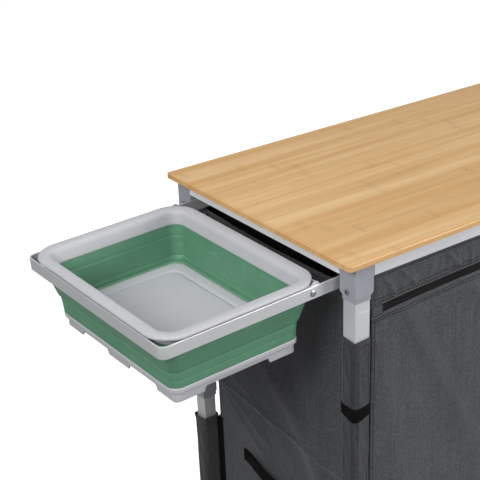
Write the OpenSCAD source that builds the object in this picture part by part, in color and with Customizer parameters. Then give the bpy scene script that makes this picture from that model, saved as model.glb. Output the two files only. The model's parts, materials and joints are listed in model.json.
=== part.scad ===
// Camp kitchen table: bamboo top on an aluminium frame, fabric cupboard below,
// telescopic legs, and a pull-out carrier with a collapsible wash bowl at one end.
// Origin: on the floor, at the centre of the whole footprint with the carrier pulled out. +X runs
// along the top, away from the bowl; -Y is the door side; +Z is up.

/* [Table top] */
// Length of the table top
table_len = 1000; // [900:10:1200]
// Depth of the table top, front to back
table_depth = 480; // [470:5:520]
// Height of the table's upper surface above the floor
table_h = 800; // [780:5:840]
// Thickness of the bamboo board
top_t = 9; // [8:0.5:12]
// Corner radius of the board in plan
top_corner_r = 6; // [3:1:12]
// Rounding of the board's upper edges
top_edge_r = 2.5; // [1:0.5:3]
// Overhang of the board past the leg tubes at the two ends
overhang_end = 20.5; // [16:0.5:26]
// Overhang of the board past the leg tubes at the front and back
overhang_side = 11; // [8:0.5:16]

/* [Rails and brackets] */
// Height of the rails under the board
rail_h = 22.5; // [20:0.5:25]
// Thickness of the rails, across their length
rail_t = 18; // [16:1:20]
// Wall of the rail tube
rail_wall = 1.5; // [1.2:0.1:2]
// How far the brackets and rails stand proud of the leg tubes
bracket_proud = 4; // [3:0.5:5]
// Height of a corner bracket's outer housing
bracket_h = 53; // [50:1:60]
// Length of the collar below the housing
bracket_collar_h = 9; // [6:1:14]
// Radius of the housing's lower inner corners
bracket_corner_r = 10; // [6:1:14]
// Height of the bracket's screw below the board
bracket_screw_drop = 45; // [42:1:47]

/* [Legs] */
// Width of the square upper leg tube
leg_w = 29; // [28:0.5:30]
// Wall of the leg tubes
leg_wall = 1.5; // [1.2:0.1:2]
// Width of the square lower leg tube
lower_leg_w = 25.4; // [24:0.2:25.4]
// Height of the telescope collar's lower end, below the board
telescope_drop = 434; // [420:2:450]
// Length of the telescope collar
telescope_collar_h = 52; // [44:1:60]
// Length of lower leg that stays inside the upper leg
leg_overlap = 110; // [80:5:140]
// Height of a foot
foot_h = 32; // [26:1:40]
// Width of a foot
foot_w = 31; // [30:0.5:34]

/* [Cupboard] */
// Thickness of a fabric panel
cloth_t = 2; // [1:0.5:3]
// Start of the leg sleeves, below the board
sleeve_drop = 126; // [110:1:140]
// End of the upper sleeve, above the telescope collar's lower end
sleeve_window_top = 44; // [40:1:52]
// Start of the lower sleeve, below the telescope collar's lower end
sleeve_window_bottom = 43; // [30:1:60]
// Outer width of a leg sleeve
sleeve_w = 33; // [32.5:0.5:36]
// Height of the cupboard's floor above the ground
cupboard_floor_z = 130; // [120:5:160]
// Height of the shelf above the ground
shelf_z = 392; // [370:2:410]
// Top edge of the side panels, below the board
side_panel_drop = 56; // [54:1:70]
// Centre of the horizontal door zip, below the board
zip_drop = 84; // [70:1:100]
// Width of a zip's tape
zip_w = 14; // [10:1:18]
// Height of the hook-and-loop bands, below the board
band_drop = 244; // [230:1:260]
// Width of a hook-and-loop band
band_h = 28; // [20:1:30]
// Length of a carry handle between its sewn ends
handle_len = 174; // [130:2:200]
// Width of the handle webbing
handle_w = 25; // [20:1:30]
// Height of the handles below the board
handle_drop = 518; // [470:2:520]
// How far a handle bows out of its panel
handle_bow = 15; // [10:1:20]

/* [Bowl carrier] */
// Width of the carrier frame over its arms
carrier_w = 381; // [370:1:385]
// How far the carrier reaches out past the leg tubes
carrier_reach = 313.5; // [300:0.5:320]
// Height of the carrier's flat bar
bar_h = 20; // [18:1:22]
// Thickness of the carrier's flat bar
bar_t = 3; // [2.5:0.5:3]
// Outer bend radius of the carrier frame
bar_bend_r = 13; // [8:1:20]
// Angle by which the carrier hangs below level in its guides
carrier_droop = 1.7; // [0:0.1:2]
// Height of the arms' top edge below the board, at the legs
carrier_drop = 30; // [29:0.5:31]
// Length of arm inside the table when the carrier is out
arm_inside = 97; // [95:1:110]
// How far the carrier pushes in under the table
carrier_travel = 290; // [200:5:300]
// Height of a shoe that runs in a track
shoe_h = 12; // [10:0.5:12]
// Inner height of a track: its play round the shoe lets the carrier droop
track_inner_h = 14.4; // [14.4:0.1:16]
// Wall of a track
track_t = 2; // [1.5:0.1:2.5]

/* [Wash bowl] */
// Width of the bowl's rim, across the carrier
bowl_w = 380; // [370:1:380]
// Length of the bowl's rim, along the carrier
bowl_len = 285; // [275:1:286]
// Height of the bowl from feet to rim
bowl_h = 123; // [120:0.5:126]
// Corner radius of the rim
bowl_corner_r = 45; // [40:1:50]
// Thickness of the rim
rim_t = 5.8; // [5:0.1:6]
// Width of the rim's flange
rim_w = 19; // [17:0.5:20]
// Depth of the grey wall under the rim
rim_wall_h = 16; // [14:0.5:18]
// Height of the flexible green band
band_total_h = 76; // [70:1:78]
// Number of folds in the flexible band
band_folds = 5; // [4:1:6]
// Height of the bowl's feet
bowl_foot_h = 6.5; // [5:0.5:8]

/* [Hidden] */
$fn = 64;
eps = 0.01;
gap = 0.3;

board_z = table_h - top_t;              // underside of the board
leg_x = table_len / 2 - overhang_end;   // outer end faces of the leg tubes
leg_y = table_depth / 2 - overhang_side; // outer side faces of the leg tubes
leg_cx = leg_x - leg_w / 2;
leg_cy = leg_y - leg_w / 2;
bracket_w = leg_w + 2 * bracket_proud;
bracket_bottom = board_z - bracket_h;
leg_top = board_z - rail_h - 2;         // upper end of the leg tube, inside its bracket
telescope_z = board_z - telescope_drop; // lower end of the telescope collar
upper_leg_bottom = telescope_z + 10;
lower_leg_top = upper_leg_bottom + leg_overlap;
screw_r = 2.5;
screw_head_r = 5;
screw_head_h = 2.6;
slim_r = 2;
slim_bore_r = 2.05;
slim_head_r = 4;
bracket_screw_z = board_z - bracket_screw_drop;

// Fabric planes and levels
side_cloth_x = leg_x - leg_w + cloth_t + 1;  // outer face of an end panel
front_cloth_y = leg_y - 3;                   // outer face of the front and back panels
cloth_inset = (sleeve_w - leg_w) / 2;
bay_half_x = leg_x - leg_w - bracket_proud - 0.5; // fabric between the brackets, along X
bay_half_y = leg_y - leg_w - cloth_inset - 1; // fabric between the sleeves, along Y
zip_z = board_z - zip_drop;
header_top = board_z - rail_h - 1.5;
door_top = zip_z - zip_w / 2 - gap;
door_bottom = cupboard_floor_z + cloth_t + 1;
door_edge_x = bay_half_x - 1.5; // sewn edge of a door leaf, where it hinges

// Bowl, in the carrier's own frame: x from the leg's end face, z from the arms' top edge
bowl_cx = -carrier_reach + 1.5 + bowl_len / 2;
rim_z = 0.2;
rim_top = rim_z + rim_t;
band_top_z = -rim_wall_h;
band_bottom_z = band_top_z - band_total_h;
bowl_foot_z = rim_top - bowl_h;
fold_h = band_total_h / band_folds;
bar_corner_x = -carrier_reach + bar_bend_r;
crossbar_x = bowl_cx + bowl_len / 2 - 7;
crossbar_screw_x = crossbar_x - 16;
crossbar_screw_z = -bar_h / 2 - 0.5;
ear_r = 7;

// The parts are drawn about the middle of the top; this puts them about the footprint's centre
module placed() {
    translate([(leg_x + carrier_reach * cos(carrier_droop) - table_len / 2) / 2, 0, 0]) children();
}

// ---------- shared shapes ----------

// Rectangle with round corners, centred
module round_rect(x, y, r) {
    square([x - 2 * r, y], center = true);
    square([x, y - 2 * r], center = true);
    for (i = [-1, 1], j = [-1, 1])
        translate([i * (x / 2 - r), j * (y / 2 - r)]) circle(r);
}

// Upright square post with round corners, from z0 to z1
module post(w, z0, z1, r = 1.5) {
    translate([0, 0, z0]) linear_extrude(z1 - z0) round_rect(w, w, r);
}

// Upright square tube, from z0 to z1
module tube(w, wall, z0, z1) {
    difference() {
        post(w, z0, z1);
        post(w - 2 * wall, z0 - 1, z1 + 1, 0.8);
    }
}

// Puts a shape at a leg: i = -1 left or 1 right, j = -1 front or 1 rear.
// The child is drawn for the right rear leg, with its outer faces towards +X and +Y.
module at_leg(i, j) {
    mirror([i < 0 ? 1 : 0, 0, 0]) mirror([0, j < 0 ? 1 : 0, 0]) translate([leg_cx, leg_cy, 0]) children();
}

// Pan-head screw along +Z, head's underside at z = 0, shank below
module pan_screw(shank_len, shank_r = screw_r, head_r = screw_head_r) {
    difference() {
        intersection() {
            cylinder(h = screw_head_h, r = head_r);
            translate([0, 0, screw_head_h - head_r * 1.9]) sphere(head_r * 1.9);
        }
        for (a = [0, 90])
            rotate([0, 0, a]) translate([-head_r * 0.55, -0.5, screw_head_h - 1.2])
                cube([head_r * 1.1, 1, 2]);
    }
    translate([0, 0, -shank_len]) cylinder(h = shank_len + eps, r = shank_r);
}

// Wall ring with round corners, z0 to z1, outer inset a and inner inset b from the bowl's rim edge
module bowl_ring(a, b, z0, z1) {
    translate([bowl_cx, 0, z0]) linear_extrude(z1 - z0) difference() {
        bowl_outline(a);
        bowl_outline(b);
    }
}

// Outline of the bowl, drawn in by an inset from the rim's edge
module bowl_outline(inset) {
    round_rect(bowl_len - 2 * inset, bowl_w - 2 * inset, max(bowl_corner_r - inset * 0.5, 12));
}

// The carrier's own frame, hanging a little below level
module on_carrier() {
    translate([-leg_x, 0, board_z - carrier_drop]) rotate([0, -carrier_droop, 0]) children();
}

// ---------- table top and frame ----------

module table_top() {
    color("burlywood") difference() {
        intersection() {
            translate([0, 0, board_z]) linear_extrude(top_t) round_rect(table_len, table_depth, top_corner_r);
            rotate([90, 0, 0]) linear_extrude(table_depth + 2, center = true) board_section(table_len);
            rotate([90, 0, 90]) linear_extrude(table_len + 2, center = true) board_section(table_depth);
        }
        top_screw_places() translate([0, 0, -1]) cylinder(h = 7, r = slim_bore_r);
        track_screw_places() translate([0, 0, -1]) cylinder(h = 7, r = slim_bore_r);
    }
}

// Cross-section of the board, flat below and rounded above
module board_section(w) {
    translate([-w / 2, board_z]) square([w, top_t - top_edge_r]);
    translate([-w / 2 + top_edge_r, board_z]) square([w - 2 * top_edge_r, top_t]);
    for (i = [-1, 1]) translate([i * (w / 2 - top_edge_r), table_h - top_edge_r]) circle(top_edge_r);
}

// Screws that hold the board come up through the front and rear rails
module top_screw_places() {
    for (x = [-0.36, 0, 0.36], j = [-1, 1])
        translate([x * table_len, j * (leg_y + bracket_proud - rail_t / 2), board_z]) children();
}

// Hollow rail of length l along X, centred, top face under the board
module rail(l) {
    difference() {
        translate([-l / 2, -rail_t / 2, board_z - rail_h]) cube([l, rail_t, rail_h]);
        translate([-l / 2 - 1, -rail_t / 2 + rail_wall, board_z - rail_h + rail_wall])
            cube([l + 2, rail_t - 2 * rail_wall, rail_h - 2 * rail_wall]);
    }
}

rail_len_x = 2 * (leg_x - leg_w - bracket_proud);
rail_len_y = 2 * (leg_y - leg_w - bracket_proud);

module long_rail(j) {
    color("gainsboro") difference() {
        translate([0, j * (leg_y + bracket_proud - rail_t / 2), 0]) rail(rail_len_x);
        top_screw_places() {
            translate([0, 0, -rail_h / 2]) cylinder(h = rail_h, r = slim_bore_r);
            translate([0, 0, -rail_h - 1]) cylinder(h = rail_wall + 2, r = slim_head_r + 0.8);
        }
    }
}

module end_rail(i) {
    color("gainsboro")
        translate([i * (leg_x + bracket_proud - rail_t / 2), 0, 0]) rotate([0, 0, 90]) rail(rail_len_y);
}

module front_rail() { long_rail(-1); }
module rear_rail() { long_rail(1); }
module left_rail() { end_rail(-1); }
module right_rail() { end_rail(1); }

// Their heads sit inside the rails, reached through holes in the rails' lower walls
module top_screws() {
    color("silver") top_screw_places() translate([0, 0, -rail_wall]) slim_screw_up(rail_wall + 5);
}

// Slim pan-head screw driven upwards, head's seat at z = 0
module slim_screw_up(shank_len) {
    rotate([180, 0, 0]) pan_screw(shank_len, slim_r, slim_head_r);
}

// Side profile of a bracket's housing: its lower inner corner is round
module housing_profile() {
    r = bracket_corner_r;
    translate([-bracket_w / 2, bracket_bottom + r]) square([bracket_w, bracket_h - r]);
    translate([-bracket_w / 2 + r, bracket_bottom]) square([bracket_w - r, bracket_h]);
    translate([-bracket_w / 2 + r, bracket_bottom + r]) circle(r);
}

// Plug that holds the end of a rail, pointing along -X from the housing
module rail_plug() {
    clear = 0.15;
    plug_y = rail_t - 2 * rail_wall - 2 * clear;
    plug_z = rail_h - 2 * rail_wall - 2 * clear;
    plug_len = 18;
    plug_y0 = (bracket_w - rail_t - plug_y) / 2;
    translate([-bracket_w / 2 - plug_len, plug_y0, board_z - (rail_h + plug_z) / 2])
        cube([plug_len + eps, plug_y, plug_z]);
}

module bracket_shape() {
    difference() {
        union() {
            intersection() {
                post(bracket_w, bracket_bottom, board_z, 2);
                rotate([90, 0, 0]) linear_extrude(bracket_w + 2, center = true) housing_profile();
                rotate([90, 0, 90]) linear_extrude(bracket_w + 2, center = true) housing_profile();
            }
            post(leg_w + 2.4, bracket_bottom - bracket_collar_h, bracket_bottom + 12, 1.8);
            rail_plug();
            mirror([1, -1, 0]) rail_plug();
        }
        post(leg_w + 0.2, bracket_bottom - bracket_collar_h - 1, leg_top + 0.1);
        bracket_screw_place() translate([0, 0, -12]) cylinder(h = 20, r = screw_r + 0.1);
    }
}

// A bracket's screw enters through its end face
module bracket_screw_place() {
    translate([bracket_w / 2, 0, bracket_screw_z]) rotate([0, 90, 0]) children();
}

module corner_bracket(i, j) { color("lightslategray") at_leg(i, j) bracket_shape(); }
module corner_bracket_front_left() { corner_bracket(-1, -1); }
module corner_bracket_front_right() { corner_bracket(1, -1); }
module corner_bracket_rear_left() { corner_bracket(-1, 1); }
module corner_bracket_rear_right() { corner_bracket(1, 1); }

module bracket_screws() {
    color("silver") for (i = [-1, 1], j = [-1, 1]) at_leg(i, j) bracket_screw_place() pan_screw(11);
}

// ---------- legs ----------

module upper_leg(i, j) {
    color("lightgray") at_leg(i, j) difference() {
        tube(leg_w, leg_wall, upper_leg_bottom, leg_top);
        bracket_screw_place() translate([0, 0, -12]) cylinder(h = 20, r = screw_r + 0.1);
        crimp(leg_w, bracket_bottom - bracket_collar_h - 18);
    }
}

// Shallow line pressed across the outer side face of a tube
module crimp(w, z) {
    translate([-11, w / 2 - 0.4, z]) cube([22, 1, 1.2]);
}

module upper_leg_front_left() { upper_leg(-1, -1); }
module upper_leg_front_right() { upper_leg(1, -1); }
module upper_leg_rear_left() { upper_leg(-1, 1); }
module upper_leg_rear_right() { upper_leg(1, 1); }

// Moulded collar that closes the upper tube and guides the lower one
module leg_collar(i, j) {
    housing_w = leg_w + 2.4;
    guide_w = lower_leg_w + 0.6;
    color("slategray") at_leg(i, j) difference() {
        union() {
            post(housing_w, telescope_z + 8, telescope_z + telescope_collar_h, 1.8);
            post(leg_w, telescope_z, telescope_z + 9, 1.5);
        }
        post(guide_w, telescope_z - 1, telescope_z + telescope_collar_h + 1, 1.2);
        post(leg_w + 0.2, upper_leg_bottom - 0.1, telescope_z + telescope_collar_h + 1, 1.5);
    }
}

module leg_collar_front_left() { leg_collar(-1, -1); }
module leg_collar_front_right() { leg_collar(1, -1); }
module leg_collar_rear_left() { leg_collar(-1, 1); }
module leg_collar_rear_right() { leg_collar(1, 1); }

module lower_leg(i, j) {
    color("lightgray") at_leg(i, j) difference() {
        tube(lower_leg_w, leg_wall, 6, lower_leg_top);
        rotate([0, 0, -90]) crimp(lower_leg_w, telescope_z - 16);
    }
}

module lower_leg_front_left() { lower_leg(-1, -1); }
module lower_leg_front_right() { lower_leg(1, -1); }
module lower_leg_rear_left() { lower_leg(-1, 1); }
module lower_leg_rear_right() { lower_leg(1, 1); }

// Foot cap: a cup over the tube's end with a spigot inside it
module foot(i, j) {
    color("dimgray") at_leg(i, j) difference() {
        post(foot_w, 0, foot_h, 3);
        difference() {
            post(lower_leg_w + 0.1, 5.9, foot_h + 1);
            post(lower_leg_w - 2 * leg_wall - 0.2, 5, foot_h - 4, 0.8);
        }
    }
}

module foot_front_left() { foot(-1, -1); }
module foot_front_right() { foot(1, -1); }
module foot_rear_left() { foot(-1, 1); }
module foot_rear_right() { foot(1, 1); }

// ---------- fabric cupboard ----------

// Fabric sleeve round a leg: one stretch above the telescope collar and one below it
module sleeve(i, j) {
    color("dimgray") at_leg(i, j) {
        tube(sleeve_w, 1.6, telescope_z + telescope_collar_h + 1, board_z - sleeve_drop);
        tube(sleeve_w, 1.6, cupboard_floor_z - 2, telescope_z - sleeve_window_bottom);
    }
}

module sleeve_front_left() { sleeve(-1, -1); }
module sleeve_front_right() { sleeve(1, -1); }
module sleeve_rear_left() { sleeve(-1, 1); }
module sleeve_rear_right() { sleeve(1, 1); }

// Bands that close the sleeves round the legs
module hook_loop_bands() {
    color("black") for (i = [-1, 1], j = [-1, 1]) at_leg(i, j)
        tube(sleeve_w + 1.8, 0.8, board_z - band_drop - band_h, board_z - band_drop);
}

// Upright sheet across an end of the cupboard
module end_panel(i) {
    color("dimgray") translate([i * (side_cloth_x - cloth_t / 2), 0, 0])
        translate([-cloth_t / 2, -bay_half_y, cupboard_floor_z])
            cube([cloth_t, 2 * bay_half_y, board_z - side_panel_drop - cupboard_floor_z]);
}

module left_panel() { end_panel(-1); }
module right_panel() { end_panel(1); }

module back_panel() {
    color("dimgray") translate([-bay_half_x, front_cloth_y - cloth_t, cupboard_floor_z])
        cube([2 * bay_half_x, cloth_t, header_top - cupboard_floor_z]);
}

// Strip of fabric between the front rail and the door zip
module front_header() {
    color("dimgray") translate([-bay_half_x, -front_cloth_y, zip_z + zip_w / 2 + gap])
        cube([2 * bay_half_x, cloth_t, header_top - zip_z - zip_w / 2 - gap]);
}

// One leaf of the fabric door, i = -1 left or 1 right
module door(i) {
    leaf_w = door_edge_x - zip_w / 2 - gap;
    color("dimgray") mirror([i < 0 ? 1 : 0, 0, 0])
        translate([zip_w / 2 + gap, -front_cloth_y, door_bottom])
            cube([leaf_w, cloth_t, door_top - door_bottom]);
}

module door_left() { door(-1); }
module door_right() { door(1); }

floor_half_x = side_cloth_x - cloth_t - 0.5;
floor_half_y = front_cloth_y - cloth_t - 0.5;

// Sheet inside the cupboard with its corners cut back round the legs
module level_sheet(z) {
    notch = leg_w + cloth_inset * 2 + 4;
    translate([0, 0, z]) linear_extrude(cloth_t + 1) difference() {
        square([2 * floor_half_x, 2 * floor_half_y], center = true);
        for (i = [-1, 1], j = [-1, 1]) translate([i * leg_cx, j * leg_cy]) square(notch, center = true);
    }
}

module cupboard_floor() { color("dimgray") level_sheet(cupboard_floor_z - 2); }
module cupboard_shelf() { color("dimgray") level_sheet(shelf_z); }

// Zip along the top of the door
module zip_top() {
    color("black") translate([-bay_half_x + 22, -front_cloth_y - 0.2, zip_z - zip_w / 2])
        cube([2 * bay_half_x - 44, cloth_t, zip_w]);
}

// Half of the upright zip, sewn along a door leaf's free edge
module zip_edge(i) {
    color("black") mirror([i < 0 ? 1 : 0, 0, 0])
        translate([0.1, -front_cloth_y - 0.2, door_bottom])
            cube([zip_w / 2 - 0.1, cloth_t, door_top - door_bottom]);
}

module zip_edge_left() { zip_edge(-1); }
module zip_edge_right() { zip_edge(1); }

// Slider body with a pull tab, in front of its zip; the tab hangs along -Z of its own frame
module zip_slider_shape() {
    translate([-5, -3.2, -6]) cube([10, 2.8, 12]);
    translate([-3, -4.6, -4]) cube([6, 1.5, 5]);
    translate([0, -3.9, -4]) rotate([90, 0, 0]) difference() {
        linear_extrude(1.2) {
            translate([-3, -24]) square([6, 24]);
            translate([0, -24]) circle(3);
        }
        translate([0, -23, -1]) cylinder(h = 4, r = 1.4);
    }
}

module zip_slider_top() {
    color("gray") translate([bay_half_x - 40, -front_cloth_y - 0.3, zip_z])
        rotate([0, -90, 0]) zip_slider_shape();
}

module zip_slider_centre() {
    color("gray") translate([-5.2, -front_cloth_y - 0.3, door_top - 8]) zip_slider_shape();
}

// Webbing handle: a flat strap that bows out of the end panel between its sewn ends
module handle(i) {
    sag_r = (pow(handle_len / 2, 2) + pow(handle_bow, 2)) / (2 * handle_bow);
    strap_t = 2;
    tab = 24;
    color("black") mirror([i < 0 ? 1 : 0, 0, 0])
        translate([side_cloth_x + 0.4, 0, board_z - handle_drop - handle_w / 2]) linear_extrude(handle_w) {
            intersection() {
                translate([handle_bow + strap_t - sag_r, 0]) difference() {
                    circle(sag_r, $fn = 180);
                    circle(sag_r - strap_t, $fn = 180);
                }
                translate([0, -handle_len / 2]) square([handle_bow + strap_t + 1, handle_len]);
            }
            for (j = [-1, 1])
                translate([0, j * (handle_len / 2 + tab / 2 - 4) - tab / 2]) square([strap_t, tab]);
        }
}

module handle_left() { handle(-1); }
module handle_right() { handle(1); }

// ---------- bowl carrier ----------

arm_outer_y = carrier_w / 2;
shoe_x1 = arm_inside - 2;
shoe_x0 = shoe_x1 - 55;
shoe_z = -bar_h / 2;                     // centre height, in the carrier's frame
track_x0 = leg_w + bracket_proud + 3;    // from the legs' end face
track_len = shoe_x1 + carrier_travel + 8 - track_x0;
track_y0 = arm_outer_y + screw_head_h + 0.6;
track_y1 = track_y0 + 18;
track_z = board_z - carrier_drop + shoe_z + (shoe_x0 + shoe_x1) / 2 * tan(carrier_droop);

// Screws that hold a track go up into the board
module track_screw_places() {
    for (x = [30, track_len / 2, track_len - 30], j = [-1, 1])
        translate([-leg_x + track_x0 + x, j * (track_y1 - track_t - 8), board_z]) children();
}

// Cross-section of a track, y outwards and z up from the board's underside: a channel that opens
// towards the bowl, on a web that rises to a screw flange
module track_section() {
    z0 = track_z - board_z - track_inner_h / 2;
    z1 = z0 + track_inner_h;
    translate([track_y1 - track_t, z0 - track_t]) square([track_t, -z0 + track_t]);
    translate([track_y0, z0 - track_t]) square([track_y1 - track_y0, track_t]);
    translate([track_y0, z1]) square([track_y1 - track_y0, track_t]);
    translate([track_y1 - 16, -track_t]) square([16, track_t]);
}

// Fixed track for one arm, with an end plate that stops the shoe
module carrier_track(j) {
    color("silver") difference() {
        mirror([0, j < 0 ? 1 : 0, 0]) translate([-leg_x + track_x0, 0, board_z]) {
            rotate([90, 0, 90]) linear_extrude(track_len) track_section();
            translate([0, track_y0 + 3, track_z - board_z - track_inner_h / 2 - eps])
                cube([track_t, track_y1 - track_y0 - 3 - eps, track_inner_h + 2 * eps]);
        }
        track_screw_places() translate([0, 0, -10]) cylinder(h = 12, r = slim_bore_r);
    }
}

module carrier_track_front() { carrier_track(-1); }
module carrier_track_rear() { carrier_track(1); }

module track_screws() {
    color("silver") track_screw_places() translate([0, 0, -track_t]) slim_screw_up(track_t + 5);
}

// U-shaped frame of flat bar on edge
module carrier_frame() {
    color("gainsboro") on_carrier() difference() {
        translate([0, 0, -bar_h]) linear_extrude(bar_h) difference() {
            carrier_outline(0);
            carrier_outline(bar_t);
        }
        for (j = [-1, 1]) {
            crossbar_screw_bore(j);
            mirror([0, j < 0 ? 1 : 0, 0])
                shoe_peg_places() translate([0, 0, -bar_t - 1]) cylinder(h = bar_t + 2, r = 2.6);
        }
    }
}

// Plan of the carrier, open at the table end
module carrier_outline(inset) {
    w = carrier_w / 2 - inset;
    r = bar_bend_r - inset;
    x1 = arm_inside + (inset > 0 ? 1 : 0);
    translate([bar_corner_x, -w]) square([x1 - bar_corner_x, 2 * w]);
    translate([-carrier_reach + inset, -w + r]) square([r + 1, 2 * w - 2 * r]);
    for (j = [-1, 1]) translate([bar_corner_x, j * (w - r)]) circle(r);
}

module crossbar_screw_bore(j) {
    translate([crossbar_screw_x, j * (carrier_w / 2 + 1), crossbar_screw_z])
        rotate([j * 90, 0, 0]) cylinder(h = 12, r = screw_r + 0.1);
}

// Flat bar under the bowl's table-side rim, with flanges that screw to the arms
module carrier_crossbar() {
    flange_y = carrier_w / 2 - bar_t - 0.1;
    color("gainsboro") on_carrier() difference() {
        union() {
            translate([crossbar_x - bar_t, -flange_y, -bar_h]) cube([bar_t, 2 * flange_y, bar_h]);
            for (j = [-1, 1]) {
                translate([crossbar_x - 28, j * (flange_y - bar_t / 2) - bar_t / 2, -bar_h])
                    cube([28, bar_t, bar_h]);
                translate([crossbar_x - ear_r, j * (flange_y - bar_t / 2), 5 - ear_r])
                    rotate([90, 0, 0]) cylinder(h = bar_t, r = ear_r, center = true);
            }
        }
        for (j = [-1, 1]) crossbar_screw_bore(j);
    }
}

module carrier_screws() {
    color("silver") on_carrier() for (j = [-1, 1])
        translate([crossbar_screw_x, j * carrier_w / 2, crossbar_screw_z])
            rotate([-j * 90, 0, 0]) pan_screw(10);
}

// Plastic shoes on the outer sides of the arms' inner ends, each pegged into its arm
module carrier_shoes() {
    shoe_w = track_y1 - track_t - 1 - arm_outer_y;
    color("dimgray") on_carrier() for (j = [-1, 1]) mirror([0, j < 0 ? 1 : 0, 0]) {
        translate([shoe_x0, arm_outer_y + 0.05, shoe_z - shoe_h / 2])
            cube([shoe_x1 - shoe_x0, shoe_w, shoe_h]);
        shoe_peg_places() translate([0, 0, -bar_t - 0.5]) cylinder(h = bar_t + 1, r = 2.5);
    }
}

// Pegs of a shoe, along +Y of the carrier, starting at the arm's outer face
module shoe_peg_places() {
    for (x = [shoe_x0 + 10, shoe_x1 - 10])
        translate([x, arm_outer_y, shoe_z]) rotate([-90, 0, 0]) children();
}

// ---------- wash bowl ----------

// Outer inset of the flexible band at fold k
function fold_inset(k) = 17 + 2 * k;

// Insets and levels of the bowl's floor, which steps in from the skirt to the flat bottom
skirt_inset = fold_inset(band_folds - 1) + 0.5;
step_inset = skirt_inset + 6;
floor_inset = skirt_inset + 18;
step_top = band_bottom_z + 7;
floor_top = band_bottom_z + 11.5;
bowl_wall = 3.6;

module bowl_rim() {
    color("lightgray") on_carrier() {
        bowl_ring(0, rim_w, rim_z, rim_top);
        bowl_ring(15.5, rim_w, -rim_wall_h / 2, rim_z + eps);
        bowl_ring(15.5, rim_w + 2.5, -rim_wall_h + gap, -rim_wall_h / 2 + eps);
    }
}

module bowl_band() {
    last = fold_inset(band_folds - 1);
    color("mediumseagreen") on_carrier() {
        for (k = [0 : band_folds - 1])
            bowl_ring(fold_inset(k), fold_inset(k) + bowl_wall,
                band_top_z - (k + 1) * fold_h, band_top_z - k * fold_h + (k > 0 ? eps : 0));
        bowl_ring(last + 1, step_inset - gap, band_bottom_z, step_top + eps);
        bowl_ring(last + 1, floor_inset - gap, step_top + gap, floor_top);
        bowl_ring(last + 1, floor_inset - 6, floor_top - eps, floor_top + 4);
    }
}

module bowl_base() {
    skirt_bottom = bowl_foot_z + bowl_foot_h;
    color("lightgray") on_carrier() {
        translate([bowl_cx, 0, 0]) difference() {
            union() {
                bowl_slab(skirt_inset, skirt_bottom, band_bottom_z - gap);
                bowl_slab(step_inset, band_bottom_z - gap - eps, step_top);
                bowl_slab(floor_inset, step_top - eps, floor_top);
            }
            bowl_slab(skirt_inset + bowl_wall, skirt_bottom - 1, band_bottom_z - gap - bowl_wall);
            bowl_slab(step_inset + bowl_wall, skirt_bottom - 1, step_top - bowl_wall);
            bowl_slab(floor_inset + bowl_wall, skirt_bottom - 1, floor_top - bowl_wall);
        }
        bowl_feet(skirt_inset, skirt_inset + bowl_wall, skirt_bottom);
    }
}

// Solid slab with the bowl's outline
module bowl_slab(inset, z0, z1) {
    translate([0, 0, z0]) linear_extrude(z1 - z0) bowl_outline(inset);
}

// Feet under the base's skirt: at the corners and halfway along the ends
module bowl_feet(outer, inner, top) {
    foot_len = 46;
    half_x = bowl_len / 2;
    half_y = bowl_w / 2;
    difference() {
        bowl_ring(outer, inner, bowl_foot_z, top + eps);
        translate([bowl_cx, 0, bowl_foot_z - 1]) linear_extrude(bowl_foot_h + 1) {
            square([bowl_len - 2 * outer - 2 * foot_len, bowl_w], center = true);
            for (j = [-1, 1])
                translate([-half_x, j * half_y * 0.37 - half_y * 0.22]) square([bowl_len, half_y * 0.44]);
        }
    }
}

// ---------- assembly ----------

placed() table_top();
placed() front_rail();
placed() rear_rail();
placed() left_rail();
placed() right_rail();
placed() corner_bracket_front_left();
placed() corner_bracket_front_right();
placed() corner_bracket_rear_left();
placed() corner_bracket_rear_right();
placed() bracket_screws();
placed() top_screws();
placed() upper_leg_front_left();
placed() upper_leg_front_right();
placed() upper_leg_rear_left();
placed() upper_leg_rear_right();
placed() leg_collar_front_left();
placed() leg_collar_front_right();
placed() leg_collar_rear_left();
placed() leg_collar_rear_right();
placed() lower_leg_front_left();
placed() lower_leg_front_right();
placed() lower_leg_rear_left();
placed() lower_leg_rear_right();
placed() foot_front_left();
placed() foot_front_right();
placed() foot_rear_left();
placed() foot_rear_right();
placed() sleeve_front_left();
placed() sleeve_front_right();
placed() sleeve_rear_left();
placed() sleeve_rear_right();
placed() hook_loop_bands();
placed() left_panel();
placed() right_panel();
placed() back_panel();
placed() front_header();
placed() door_left();
placed() door_right();
placed() cupboard_floor();
placed() cupboard_shelf();
placed() zip_top();
placed() zip_edge_left();
placed() zip_edge_right();
placed() zip_slider_top();
placed() zip_slider_centre();
placed() handle_left();
placed() handle_right();
placed() carrier_track_front();
placed() carrier_track_rear();
placed() track_screws();
placed() carrier_frame();
placed() carrier_crossbar();
placed() carrier_screws();
placed() carrier_shoes();
placed() bowl_rim();
placed() bowl_band();
placed() bowl_base();
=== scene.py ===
"""Looks of a camp kitchen table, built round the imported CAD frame.

Metres, +Z up, and -Y is the door side. Small sizes are millimetres times MM.
"""

import json
import math

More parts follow.
